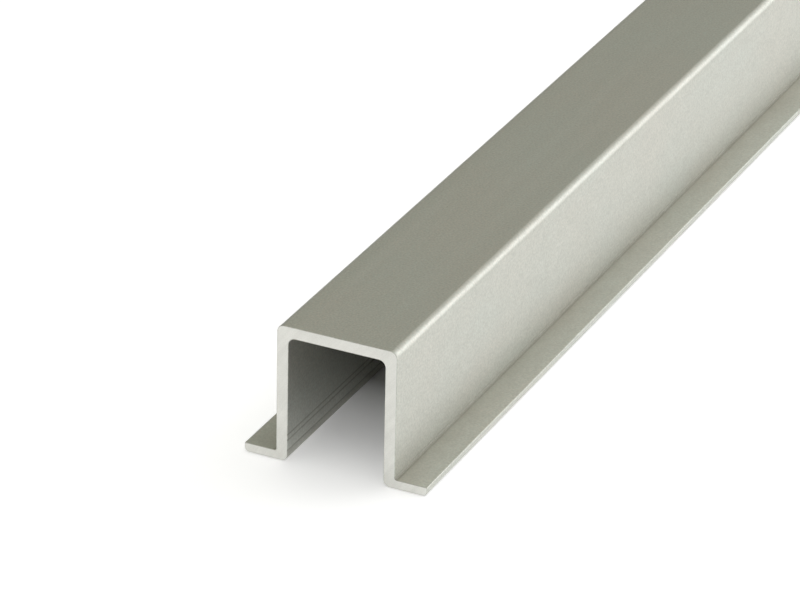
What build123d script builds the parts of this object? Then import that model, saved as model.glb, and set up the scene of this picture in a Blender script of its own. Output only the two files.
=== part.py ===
from build123d import *
import os

# A bottom track for a sliding door: one length of extruded aluminium with a hat section.
# The crown and two webs make a channel that is open downwards, where a guide runs,
# and a thin flange stands out from the foot of each web.
# X runs across the track, Y along it and Z up. The origin is on the plane of the flange
# undersides, in the middle of the channel and halfway along the stock. Sizes are in mm.

# Driving dimensions
stock_length = 1000.0
section_height = 30.0
channel_width = 21.0
web_thickness = 2.5
crown_thickness = 2.5
flange_reach = 7.0
flange_thickness = 2.0

# Corner radii of the die, each held within the wall that carries it
crown_outer_radius = min(1.5, 0.6 * crown_thickness, 0.6 * web_thickness)
channel_inner_radius = min(1.5, 0.4 * channel_width)
flange_root_radius = min(0.5, 0.4 * flange_reach)
mouth_radius = min(1.4, 0.6 * web_thickness)
tip_lower_radius = min(1.0, 0.5 * flange_thickness)
tip_upper_radius = min(0.2, 0.1 * flange_thickness)

# Sizes that follow from them
crown_width = channel_width + 2 * web_thickness
overall_width = crown_width + 2 * flange_reach
channel_depth = section_height - crown_thickness


def upward(width, height):
    """A rectangle centred across the track that stands on the flange undersides."""
    return Rectangle(width, height, align=(Align.CENTER, Align.MIN))


def rounded(section, half_width, height, radius):
    """Round the mirrored pair of corners of the section at this half width and height."""
    pair = [
        section.vertices().sort_by_distance((side * half_width, height))[0]
        for side in (-1, 1)
    ]
    return fillet(pair, radius)


def hat_section():
    """The section that the die cuts, drawn with X across and Y up."""
    section = upward(crown_width, section_height)
    section += upward(overall_width, flange_thickness)
    section -= upward(channel_width, channel_depth)

    # The crown, outside and inside
    section = rounded(section, crown_width / 2, section_height, crown_outer_radius)
    section = rounded(section, channel_width / 2, channel_depth, channel_inner_radius)

    # Where each flange leaves its web, and the lips of the channel's mouth
    section = rounded(section, crown_width / 2, flange_thickness, flange_root_radius)
    section = rounded(section, channel_width / 2, 0, mouth_radius)

    # The flange tips: well rounded below, and almost sharp above
    section = rounded(section, overall_width / 2, 0, tip_lower_radius)
    section = rounded(section, overall_width / 2, flange_thickness, tip_upper_radius)
    return section


def track_profile():
    """The section run along the whole stock, sawn square at both ends."""
    return extrude(Plane.XZ * hat_section(), amount=stock_length / 2, both=True)


os.makedirs("parts", exist_ok=True)
export_step(track_profile(), "parts/track_profile.step")
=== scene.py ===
import math

import bmesh
import bpy
from mathutils import Matrix, Vector


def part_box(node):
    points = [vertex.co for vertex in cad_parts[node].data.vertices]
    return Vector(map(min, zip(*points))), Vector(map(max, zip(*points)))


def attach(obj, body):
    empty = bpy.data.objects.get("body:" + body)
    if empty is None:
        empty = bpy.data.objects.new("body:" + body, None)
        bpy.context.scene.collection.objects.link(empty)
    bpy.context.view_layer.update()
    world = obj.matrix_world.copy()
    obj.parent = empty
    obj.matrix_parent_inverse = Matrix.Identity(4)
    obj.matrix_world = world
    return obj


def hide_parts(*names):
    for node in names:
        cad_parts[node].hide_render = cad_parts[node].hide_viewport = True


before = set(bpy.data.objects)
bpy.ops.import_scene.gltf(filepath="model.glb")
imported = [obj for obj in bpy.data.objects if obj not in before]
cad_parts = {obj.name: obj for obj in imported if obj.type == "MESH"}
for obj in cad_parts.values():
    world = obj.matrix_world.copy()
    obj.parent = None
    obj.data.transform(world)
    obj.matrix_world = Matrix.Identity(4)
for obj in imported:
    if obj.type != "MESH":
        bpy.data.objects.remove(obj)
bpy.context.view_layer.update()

# The track's own sizes in metres: the overall ones come from the track_profile part in model.glb
low, high = (Vector(corner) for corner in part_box("track_profile"))
STOCK_LENGTH = high.y - low.y
OVERALL_WIDTH = high.x - low.x
SECTION_HEIGHT = high.z - low.z
WEB_THICKNESS = 0.0025
CROWN_THICKNESS = 0.0025
FLANGE_REACH = 0.007
FLANGE_THICKNESS = 0.002
CROWN_WIDTH = OVERALL_WIDTH - 2 * FLANGE_REACH
CHANNEL_WIDTH = CROWN_WIDTH - 2 * WEB_THICKNESS
CHANNEL_DEPTH = SECTION_HEIGHT - CROWN_THICKNESS

# Corner radii of the die
CROWN_OUTER_RADIUS = 0.0015
CHANNEL_INNER_RADIUS = 0.0015
FLANGE_ROOT_RADIUS = 0.0005
MOUTH_RADIUS = 0.0014
TIP_LOWER_RADIUS = 0.001
TIP_UPPER_RADIUS = 0.0002

# Finer shape: the steps of a rounded corner, the dulled edge of a sawn end and the die lines
CORNER_STEPS = 12
EDGE_BREAK = 0.00012
EDGE_STEPS = 3
STRETCHES = 40
DIE_LINE_HEIGHTS = (0.0025, 0.0048, 0.006)
DIE_LINE_WIDTH = 0.0003
DIE_LINE_DEPTH = 0.00006

# The sawn ends' place among the track's materials, after the skin
SAWN_SLOT = 1


def placed(name, data):
    """A new object in the scene that shows this data."""
    thing = bpy.data.objects.new(name, data)
    bpy.context.collection.objects.link(thing)
    return thing


def direction(azimuth, elevation):
    """From the origin outwards. Azimuth 0 is on the -Y side and grows towards +X, in degrees."""
    around, above = math.radians(azimuth), math.radians(elevation)
    return Vector((
        math.sin(around) * math.cos(above),
        -math.cos(around) * math.cos(above),
        math.sin(above),
    ))


def corner(centre_x, centre_z, radius, start, end, outward):
    """One rounded corner of the right half: outward is 1 if it is convex and -1 if hollow."""
    return {
        "centre": (centre_x, centre_z),
        "radius": radius,
        "angles": (start, end),
        "outward": outward,
    }


def right_half():
    """The rounded corners of the right half, from the crown down and back up in the channel."""
    half_crown = CROWN_WIDTH / 2
    half_overall = OVERALL_WIDTH / 2
    half_channel = CHANNEL_WIDTH / 2
    outer, inner = CROWN_OUTER_RADIUS, CHANNEL_INNER_RADIUS
    root, mouth = FLANGE_ROOT_RADIUS, MOUTH_RADIUS
    upper, lower = TIP_UPPER_RADIUS, TIP_LOWER_RADIUS
    return [
        corner(half_crown - outer, SECTION_HEIGHT - outer, outer, 90, 0, 1),
        corner(half_crown + root, FLANGE_THICKNESS + root, root, 180, 270, -1),
        corner(half_overall - upper, FLANGE_THICKNESS - upper, upper, 90, 0, 1),
        corner(half_overall - lower, lower, lower, 0, -90, 1),
        corner(half_channel + mouth, mouth, mouth, 270, 180, 1),
        corner(half_channel - inner, CHANNEL_DEPTH - inner, inner, 0, 90, -1),
    ]


def arc(rounding, inset):
    """A rounded corner as points (x, z), with its outline drawn in by inset."""
    centre_x, centre_z = rounding["centre"]
    start, end = rounding["angles"]
    radius = rounding["radius"] - inset * rounding["outward"]
    points = []
    for step in range(CORNER_STEPS + 1):
        angle = math.radians(start + (end - start) * step / CORNER_STEPS)
        points.append((centre_x + radius * math.cos(angle), centre_z + radius * math.sin(angle)))
    return points


def die_lines(inset):
    """Shallow grooves of the die up the inner face of the right web, from the mouth upwards."""
    face = CHANNEL_WIDTH / 2 + inset
    points = []
    for height in DIE_LINE_HEIGHTS:
        points += [
            (face, height - DIE_LINE_WIDTH / 2),
            (face + DIE_LINE_DEPTH, height),
            (face, height + DIE_LINE_WIDTH / 2),
        ]
    return points


def outline(inset):
    """The whole section, drawn in by inset: the right half, and its mirror image on the way back."""
    *below, under_crown = right_half()
    right = []
    for rounding in below:
        right += arc(rounding, inset)
    right += die_lines(inset) + arc(under_crown, inset)
    return right + [(-x, z) for x, z in reversed(right)]


def stations():
    """Places along the stock with the inset there: the ends are dulled, the rest is full size."""
    half = STOCK_LENGTH / 2
    front = []
    for step in range(EDGE_STEPS + 1):
        angle = math.radians(90 * step / EDGE_STEPS)
        front.append((
            -half + EDGE_BREAK * (1 - math.sin(angle)),
            EDGE_BREAK * (1 - math.cos(angle)),
        ))
    front.reverse()
    middle = [
        (-half + STOCK_LENGTH * step / STRETCHES, 0.0)
        for step in range(1, STRETCHES)
    ]
    back = [(-y, inset) for y, inset in reversed(front)]
    return front + middle + back


def extruded_track():
    """The track as one closed mesh: rings of the section along the stock, and two sawn ends."""
    shape = bmesh.new()
    rings = []
    for y, inset in stations():
        rings.append([shape.verts.new((x, y, z)) for x, z in outline(inset)])
    count = len(rings[0])
    for near, far in zip(rings, rings[1:]):
        for i in range(count):
            j = (i + 1) % count
            shape.faces.new((near[i], near[j], far[j], far[i]))
    ends = [shape.faces.new(rings[0]), shape.faces.new(rings[-1])]
    for face in ends:
        face.material_index = SAWN_SLOT
        face.normal_update()
    bmesh.ops.triangulate(shape, faces=ends, quad_method="BEAUTY", ngon_method="EAR_CLIP")
    bmesh.ops.recalc_face_normals(shape, faces=shape.faces)
    for face in shape.faces:
        face.smooth = True
    mesh = bpy.data.meshes.new("extruded_track")
    shape.to_mesh(mesh)
    shape.free()
    piece = placed("extruded_track", mesh)
    level = piece.modifiers.new("flat_faces_stay_flat", "WEIGHTED_NORMAL")
    level.mode = "FACE_AREA"
    level.keep_sharp = True
    return piece


# Colour sockets of the mixing node, which share their names with its other sockets
FIRST_COLOUR = 6
SECOND_COLOUR = 7
MIXED_COLOUR = 2


class Finish:
    """A material and its node tree, with short calls that add a node and join it up."""

    def __init__(self, name):
        self.material = bpy.data.materials.new(name)
        self.material.use_nodes = True
        self.nodes = self.material.node_tree.nodes
        self.links = self.material.node_tree.links
        self.shader = self.nodes["Principled BSDF"]
        self.place = self.add("ShaderNodeTexCoord").outputs["Object"]

    def give(self, node, socket, value):
        """Join another node's socket to this one, or set it to a number or a colour."""
        target = node.inputs[socket]
        if isinstance(value, bpy.types.NodeSocket):
            self.links.new(value, target)
        elif target.type == "RGBA":
            target.default_value = (*value, 1.0)
        else:
            target.default_value = value

    def add(self, kind, inputs=None, **settings):
        """A new node, with what its sockets are given; settings are its own fields."""
        node = self.nodes.new(kind)
        for field, value in settings.items():
            setattr(node, field, value)
        for socket, value in (inputs or {}).items():
            self.give(node, socket, value)
        return node

    def feed(self, socket, value):
        """Give one of the shader's own sockets its source or its value."""
        self.give(self.shader, socket, value)

    def calculate(self, operation, *values):
        """The result of one operation on these values."""
        inputs = dict(enumerate(values))
        return self.add("ShaderNodeMath", inputs, operation=operation).outputs["Value"]

    def total(self, first, second):
        return self.calculate("ADD", first, second)

    def times(self, first, second):
        return self.calculate("MULTIPLY", first, second)

    def away(self, value, middle=0.0):
        """How far the value is from the middle, to either side."""
        return self.calculate("ABSOLUTE", self.calculate("SUBTRACT", value, middle))

    def axis(self, letter):
        """The place along one axis, in metres."""
        return self.add("ShaderNodeSeparateXYZ", {"Vector": self.place}).outputs[letter]

    def distance(self, place, point):
        inputs = {0: place, 1: point}
        return self.add("ShaderNodeVectorMath", inputs, operation="DISTANCE").outputs["Value"]

    def spread(self, value, result, source):
        """Value between the two limits of source, mapped to those of result and held there."""
        return self.add("ShaderNodeMapRange", {
            "Value": value,
            "From Min": source[0],
            "From Max": source[1],
            "To Min": result[0],
            "To Max": result[1],
        }).outputs["Result"]

    def near(self, distance, reach, strength=1.0):
        """The strength where the distance is nothing, fading to nothing at its reach."""
        return self.spread(distance, (strength, 0.0), (0.0, reach))

    def blend(self, amount, first, second):
        """Colours first and second mixed by amount."""
        inputs = {"Factor": amount, FIRST_COLOUR: first, SECOND_COLOUR: second}
        return self.add("ShaderNodeMix", inputs, data_type="RGBA").outputs[MIXED_COLOUR]

    def noise(self, size, stretch=1.0, detail=2.0, roughness=0.5, offset=0.0):
        """Noise from 0 to 1 in blotches about size metres wide, and stretch times as long."""
        spot = self.add("ShaderNodeMapping", {
            "Vector": self.place,
            "Location": (offset, offset, offset),
            "Scale": (1.0, 1.0 / stretch, 1.0),
        })
        return self.add("ShaderNodeTexNoise", {
            "Vector": spot.outputs["Vector"],
            "Scale": 1.0 / size,
            "Detail": detail,
            "Roughness": roughness,
        }).outputs["Fac"]

    def bump(self, height, depth, onto=None):
        """A bumped normal where height from 0 to 1 stands for depth metres."""
        inputs = {"Height": height, "Distance": depth, "Strength": 1.0}
        if onto is not None:
            inputs["Normal"] = onto
        return self.add("ShaderNodeBump", inputs).outputs["Normal"]


# Colours of natural anodised aluminium, of what lies on it and of painted shade, linear
ALUMINIUM_WARM = (0.65, 0.612, 0.555)
ALUMINIUM_COOL = (0.59, 0.64, 0.60)
ALUMINIUM_DULL = (0.50, 0.505, 0.465)
SCUFF = (0.70, 0.70, 0.66)
SPECK = (0.30, 0.29, 0.25)
# Dust with painted shade, for the flange beside each web
DUSTY_SHADE = (0.46, 0.44, 0.38)
# Painted shade for the corner at the foot of each web
CREASE_SHADE = (0.19, 0.18, 0.14)
SAWN_BRIGHT = (0.82, 0.82, 0.78)
SAWN_DULL = (0.67, 0.67, 0.63)

# Noise from 0 to 1 keeps near its middle, so one of these ranges of it is spread out
NOISE_MIDDLE = 0.5
MOST_NOISE = (0.3, 0.7)
MIDDLE_NOISE = (0.35, 0.65)
UPPER_NOISE = (0.35, 0.7)

# Width in metres of the skin's blotches and lines, and how far its relief stands out
CLOUD_SIZE = 0.014
PATCH_SIZE = 0.0035
GRAIN_SIZE = 0.00042
SPECKLE_SIZE = 0.0003
STREAK_SIZE = 0.0011
DRAW_LINE_SIZE = 0.00028
GRAIN_DEPTH = 0.000006
STREAK_DEPTH = 0.000004
DRAW_LINE_DEPTH = 0.000001

# How much of the cool tint, of the dull one and of roughness each of them brings
CLOUD_COOLNESS = (0.2, 0.5)
SPECKLE_COOLNESS = (-0.25, 0.5)
PATCH_DULLNESS = (0.0, 0.1)
GRAIN_DULLNESS = (0.0, 0.9)
STREAK_ROUGHNESS = (0.53, 0.57)
PATCH_ROUGHNESS = (-0.01, 0.01)

# Scuffs are thin lines on which smooth noise is within this width of its middle, in a few places
SCUFF_SIZE = 0.011
SCUFF_WIDTH = 0.006
SCUFF_PLACE_SIZE = 0.0088
SCUFF_PLACES = (0.55, 0.65)
SCUFF_STRENGTH = 0.3

# Specks are small dots, about one in each cell of this spacing
SPECK_SPACING = 0.007
SPECK_RADIUS = 0.00012
SPECK_STRENGTH = 0.8

# Painted shade darkens the corner at the foot of each web, and dust with painted shade darkens the
# flange beside it
CREASE_LINE = (CROWN_WIDTH / 2 + 0.0002, FLANGE_THICKNESS + 0.0002)
CREASE_REACH = 0.0006
CREASE_STRENGTH = 0.55
CREASE_ROUGHNESS = 0.35
DUST_AND_SHADE_LINE = (CROWN_WIDTH / 2, FLANGE_THICKNESS)
DUST_AND_SHADE_REACH = 0.0065
DUST_AND_SHADE_TOP = FLANGE_THICKNESS + 0.0005
DUST_AND_SHADE_STRENGTH = 0.5
DUST_AND_SHADE_PATCHES = (0.6, 1.2)
# How much darker the die lines inside the channel are drawn, spread by streak noise
DIE_LINE_DARKENING = (0.5, 0.9)


def scuffs(finish):
    """1 on the scuffs."""
    path = finish.noise(SCUFF_SIZE, detail=1.0, offset=23.0)
    place = finish.noise(SCUFF_PLACE_SIZE, detail=1.0, offset=28.0)
    return finish.times(
        finish.near(finish.away(path, NOISE_MIDDLE), SCUFF_WIDTH),
        finish.spread(place, (0.0, 1.0), SCUFF_PLACES),
    )


def specks(finish):
    """1 on the specks."""
    cells = finish.add("ShaderNodeTexVoronoi", {
        "Vector": finish.place,
        "Scale": 1.0 / SPECK_SPACING,
    })
    edge = SPECK_RADIUS / SPECK_SPACING
    return finish.spread(cells.outputs["Distance"], (1.0, 0.0), (edge / 2, edge))


def distance_to_line(finish, x, z):
    """Metres from the line along the stock at this x and z, the same on both sides of the track."""
    folded = finish.add("ShaderNodeCombineXYZ", {
        "X": finish.away(finish.axis("X")),
        "Z": finish.axis("Z"),
    })
    return finish.distance(folded.outputs["Vector"], (x, 0.0, z))


def dust_and_shade(finish, patch):
    """Dust with painted shade on the flanges, darkest beside the web, with none on the web itself.
    """
    beside_web = finish.near(distance_to_line(finish, *DUST_AND_SHADE_LINE), DUST_AND_SHADE_REACH, DUST_AND_SHADE_STRENGTH)
    patchy = finish.times(beside_web, finish.spread(patch, DUST_AND_SHADE_PATCHES, MOST_NOISE))
    low_down = finish.spread(finish.axis("Z"), (1.0, 0.0), (FLANGE_THICKNESS, DUST_AND_SHADE_TOP))
    return finish.times(patchy, low_down)


def die_line_darkening(finish):
    """1 along the die lines inside the channel, where the colour is drawn darker."""
    height = finish.axis("Z")
    lines = 0.0
    for line_height in DIE_LINE_HEIGHTS:
        line = finish.near(finish.away(height, line_height), DIE_LINE_WIDTH)
        lines = finish.total(lines, line)
    groove_floor = CHANNEL_WIDTH / 2 + DIE_LINE_DEPTH
    inside = finish.spread(
        finish.away(finish.axis("X")),
        (1.0, 0.0),
        (groove_floor, groove_floor + DIE_LINE_DEPTH),
    )
    return finish.times(lines, inside)


def satin_anodised():
    """Etched and anodised skin: grain, soft blotches, draw lines, scuffs and specks, with painted
    shade in the corner at the foot of each web, dust with painted shade on the flanges, and darker
    die lines.
    """
    finish = Finish("satin_anodised")
    cloud = finish.noise(CLOUD_SIZE, stretch=2.5, detail=3.0)
    patch = finish.noise(PATCH_SIZE, stretch=1.6, detail=3.0, offset=3.0)
    grain = finish.noise(GRAIN_SIZE, detail=2.0, offset=7.0)
    speckle = finish.noise(SPECKLE_SIZE, detail=1.0, offset=29.0)
    streak = finish.noise(STREAK_SIZE, stretch=260.0, detail=3.0, roughness=0.6, offset=11.0)
    draw_line = finish.noise(DRAW_LINE_SIZE, stretch=500.0, detail=2.0, offset=17.0)

    coolness = finish.total(
        finish.spread(cloud, CLOUD_COOLNESS, MIDDLE_NOISE),
        finish.spread(speckle, SPECKLE_COOLNESS, MOST_NOISE),
    )
    dullness = finish.total(
        finish.spread(patch, PATCH_DULLNESS, UPPER_NOISE),
        finish.spread(grain, GRAIN_DULLNESS, MOST_NOISE),
    )
    colour = finish.blend(coolness, ALUMINIUM_WARM, ALUMINIUM_COOL)
    colour = finish.blend(dullness, colour, ALUMINIUM_DULL)
    colour = finish.blend(finish.times(scuffs(finish), SCUFF_STRENGTH), colour, SCUFF)
    colour = finish.blend(finish.times(specks(finish), SPECK_STRENGTH), colour, SPECK)
    # Dust with painted shade, darkest beside each web
    colour = finish.blend(dust_and_shade(finish, patch), colour, DUSTY_SHADE)
    # Painted shade: the corner at the foot of each web is darkened, and made rougher
    crease_shade = finish.near(distance_to_line(finish, *CREASE_LINE), CREASE_REACH, CREASE_STRENGTH)
    colour = finish.blend(crease_shade, colour, CREASE_SHADE)
    # The die lines inside the channel drawn darker
    die_line_dark = finish.times(die_line_darkening(finish), finish.spread(streak, DIE_LINE_DARKENING, MOST_NOISE))
    finish.feed("Base Color", finish.blend(die_line_dark, colour, SPECK))

    roughness = finish.total(
        finish.spread(streak, STREAK_ROUGHNESS, MOST_NOISE),
        finish.spread(patch, PATCH_ROUGHNESS, MOST_NOISE),
    )
    finish.feed("Roughness", finish.total(roughness, finish.times(crease_shade, CREASE_ROUGHNESS)))
    etched = finish.bump(grain, GRAIN_DEPTH)
    drawn = finish.bump(streak, STREAK_DEPTH, etched)
    finish.feed("Normal", finish.bump(draw_line, DRAW_LINE_DEPTH, drawn))
    finish.feed("Metallic", 1.0)
    return finish.material


# The sawn ends: where the blade turned, how far apart its marks are, and their grain
SAW_CENTRE = (0.11, 0.0, -0.06)
SAW_PITCH = 0.0004
SAWN_GRAIN_SIZE = 0.00025
SAWN_PATCH_SIZE = 0.004
SAWN_DEPTH = 0.000005
SAW_MARK_DULLNESS = (0.0, 0.2)
SAWN_GRAIN_DULLNESS = (0.0, 0.4)
SAWN_PATCH_DULLNESS = (0.0, 0.2)
SAWN_ROUGHNESS = (0.50, 0.56)


def sawn_face():
    """Bright metal of a sawn end: faint arcs of a round blade and a fine grain."""
    finish = Finish("sawn_end")
    marks = finish.add("ShaderNodeTexNoise", {
        "W": finish.times(finish.distance(finish.place, SAW_CENTRE), 1.0 / SAW_PITCH),
        "Scale": 1.0,
        "Detail": 3.0,
        "Roughness": 0.65,
    }, noise_dimensions="1D").outputs["Fac"]
    grain = finish.noise(SAWN_GRAIN_SIZE, detail=2.0, offset=5.0)
    patch = finish.noise(SAWN_PATCH_SIZE, detail=2.0, offset=9.0)

    dullness = finish.total(
        finish.spread(marks, SAW_MARK_DULLNESS, MOST_NOISE),
        finish.spread(grain, SAWN_GRAIN_DULLNESS, MOST_NOISE),
    )
    dullness = finish.total(dullness, finish.spread(patch, SAWN_PATCH_DULLNESS, MIDDLE_NOISE))
    finish.feed("Base Color", finish.blend(dullness, SAWN_BRIGHT, SAWN_DULL))
    finish.feed("Roughness", finish.spread(marks, SAWN_ROUGHNESS, MOST_NOISE))
    etched = finish.bump(grain, SAWN_DEPTH)
    finish.feed("Normal", finish.bump(marks, SAWN_DEPTH, etched))
    finish.feed("Metallic", 1.0)
    return finish.material


# The floor, just under the track. Inside the channel its glow fades with depth: a painted shadow
FLOOR_SPAN = 16.0
FLOOR_GAP = 0.0001
FLOOR_COLOUR = (0.92, 0.92, 0.97)
GLOW_COLOUR = (1.0, 1.0, 1.0)
FLOOR_GLOW = 0.44
PAINTED_SHADOW_DEPTH = 0.04
CHANNEL_FLOOR_SLOT = 1


def floor_paint(name, in_channel=False):
    """Matt pale paint. The camera, metal and glass see its glow alike, and it lights nothing. In the
    channel the glow fades with depth, as a painted shadow.
    """
    finish = Finish(name)
    ray = finish.add("ShaderNodeLightPath").outputs
    mirrored = finish.total(ray["Is Glossy Ray"], ray["Is Transmission Ray"])
    glow = finish.times(finish.total(ray["Is Camera Ray"], mirrored), FLOOR_GLOW)
    # In the channel the glow fades with depth: a painted shadow on the floor
    if in_channel:
        end = STOCK_LENGTH / 2
        along = finish.away(finish.axis("Y"))
        glow = finish.times(glow, finish.spread(along, (0.0, 1.0), (end - PAINTED_SHADOW_DEPTH, end)))
    finish.feed("Emission Strength", glow)
    finish.feed("Emission Color", GLOW_COLOUR)
    finish.feed("Base Color", FLOOR_COLOUR)
    finish.feed("Roughness", 1.0)
    finish.feed("Specular IOR Level", 0.0)
    finish.material.cycles.emission_sampling = "NONE"
    return finish.material


def pale_floor():
    """A plain pale floor just under the track, with paint of its own inside the channel that carries
    a painted shadow.
    """
    mesh = bpy.data.meshes.new("floor")
    corners = []
    for half_x, half_y in (
        (FLOOR_SPAN / 2, FLOOR_SPAN / 2),
        (CHANNEL_WIDTH / 2 + MOUTH_RADIUS, STOCK_LENGTH / 2),
    ):
        for side_x, side_y in ((-1, -1), (1, -1), (1, 1), (-1, 1)):
            corners.append((side_x * half_x, side_y * half_y, -FLOOR_GAP))
    around = [(0, 1, 5, 4), (1, 2, 6, 5), (2, 3, 7, 6), (3, 0, 4, 7)]
    in_channel = (4, 5, 6, 7)
    mesh.from_pydata(corners, [], [*around, in_channel])
    mesh.materials.append(floor_paint("floor"))
    mesh.materials.append(floor_paint("floor_with_painted_shadow", in_channel=True))
    mesh.polygons[len(around)].material_index = CHANNEL_FLOOR_SLOT
    floor = placed("floor", mesh)


# The light: walls up to a dim ceiling, by elevation in degrees, and softboxes far off
WALL_LIGHT = (1.0, 1.0, 1.0)
WALL_TOP = 4
CEILING_LIGHT = (0.02, 0.02, 0.01)
CEILING_EDGE = 14
LAMP_DISTANCE = 9.0
WHITE_LIGHT = (1.0, 1.0, 1.0)
WARM_LIGHT = (1.0, 1.0, 0.92)
AMBER_LIGHT = (1.0, 0.96, 0.4)


def studio_walls():
    """White walls that fade into a dim ceiling, all around."""
    world = bpy.data.worlds.new("studio")
    bpy.context.scene.world = world
    world.use_nodes = True
    nodes, links = world.node_tree.nodes, world.node_tree.links
    outwards = nodes.new("ShaderNodeTexCoord").outputs["Generated"]
    split = nodes.new("ShaderNodeSeparateXYZ")
    links.new(outwards, split.inputs["Vector"])
    ramp = nodes.new("ShaderNodeValToRGB")
    wall, ceiling = ramp.color_ramp.elements
    wall.position = math.sin(math.radians(WALL_TOP))
    wall.color = (*WALL_LIGHT, 1.0)
    ceiling.position = math.sin(math.radians(CEILING_EDGE))
    ceiling.color = (*CEILING_LIGHT, 1.0)
    links.new(split.outputs["Z"], ramp.inputs["Fac"])
    links.new(ramp.outputs["Color"], nodes["Background"].inputs["Color"])


def softbox(name, radiance, size, azimuth, elevation, colour=WHITE_LIGHT):
    """A rectangular lamp of this radiance that faces the origin."""
    width, height = size
    lamp = bpy.data.lights.new(name, "AREA")
    lamp.shape = "RECTANGLE"
    lamp.size = width
    lamp.size_y = height
    lamp.energy = radiance * math.pi * width * height
    lamp.color = colour
    outwards = direction(azimuth, elevation)
    holder = placed(name, lamp)
    holder.location = outwards * LAMP_DISTANCE
    holder.rotation_euler = outwards.to_track_quat("Z", "Y").to_euler()


def softboxes():
    """One large softbox overhead, and four lower ones that show in the metal."""
    softbox("overhead", 1.55, (12.0, 12.0), azimuth=0, elevation=90, colour=WARM_LIGHT)
    softbox("right", 1.3, (7.2, 3.6), azimuth=112, elevation=16)
    softbox("behind_right", 1.25, (10.8, 6.6), azimuth=150, elevation=20)
    softbox("low_behind", 1.3, (7.2, 3.6), azimuth=150, elevation=9)
    softbox("behind_left", 0.07, (7.2, 4.8), azimuth=208, elevation=30, colour=AMBER_LIGHT)


# The photograph's view: the angles of the camera, its distance, and where the near end lies
IMAGE_SIZE = (800, 600)
SENSOR_WIDTH = 36.0
CAMERA_AZIMUTH = 25.07
CAMERA_ELEVATION = 26.91
CAMERA_ROLL = 1.26
CAMERA_DISTANCE = 0.8671
CAMERA_CLIP_START = 0.01
FOCAL_PIXELS = 4445.0
NEAR_END_PIXEL = (335.9, 406.6)


def photograph_camera():
    """The camera, with the middle of the near end on its pixel and no lens shift."""
    back = direction(CAMERA_AZIMUTH, CAMERA_ELEVATION)
    around, turn = math.radians(CAMERA_AZIMUTH), math.radians(CAMERA_ROLL)
    level = Vector((math.cos(around), math.sin(around), 0.0))
    upright = back.cross(level)
    right = level * math.cos(turn) + upright * math.sin(turn)
    up = upright * math.cos(turn) - level * math.sin(turn)

    near_end = Vector((0.0, -STOCK_LENGTH / 2, SECTION_HEIGHT / 2))
    metres_per_pixel = CAMERA_DISTANCE / FOCAL_PIXELS
    across = (NEAR_END_PIXEL[0] - IMAGE_SIZE[0] / 2) * metres_per_pixel
    down = (NEAR_END_PIXEL[1] - IMAGE_SIZE[1] / 2) * metres_per_pixel
    place = near_end - right * across + up * down + back * CAMERA_DISTANCE

    lens = bpy.data.cameras.new("camera")
    lens.sensor_fit = "HORIZONTAL"
    lens.sensor_width = SENSOR_WIDTH
    lens.lens = FOCAL_PIXELS * SENSOR_WIDTH / IMAGE_SIZE[0]
    lens.clip_start = CAMERA_CLIP_START
    camera = placed("camera", lens)
    axes = Matrix((right, up, back)).transposed().to_4x4()
    camera.matrix_world = Matrix.Translation(place) @ axes
    bpy.context.scene.camera = camera


track = extruded_track()
track.data.materials.append(satin_anodised())
track.data.materials.append(sawn_face())
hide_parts("track_profile")
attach(track, "root")

pale_floor()
studio_walls()
softboxes()
photograph_camera()
bpy.context.scene.view_settings.view_transform = "Standard"
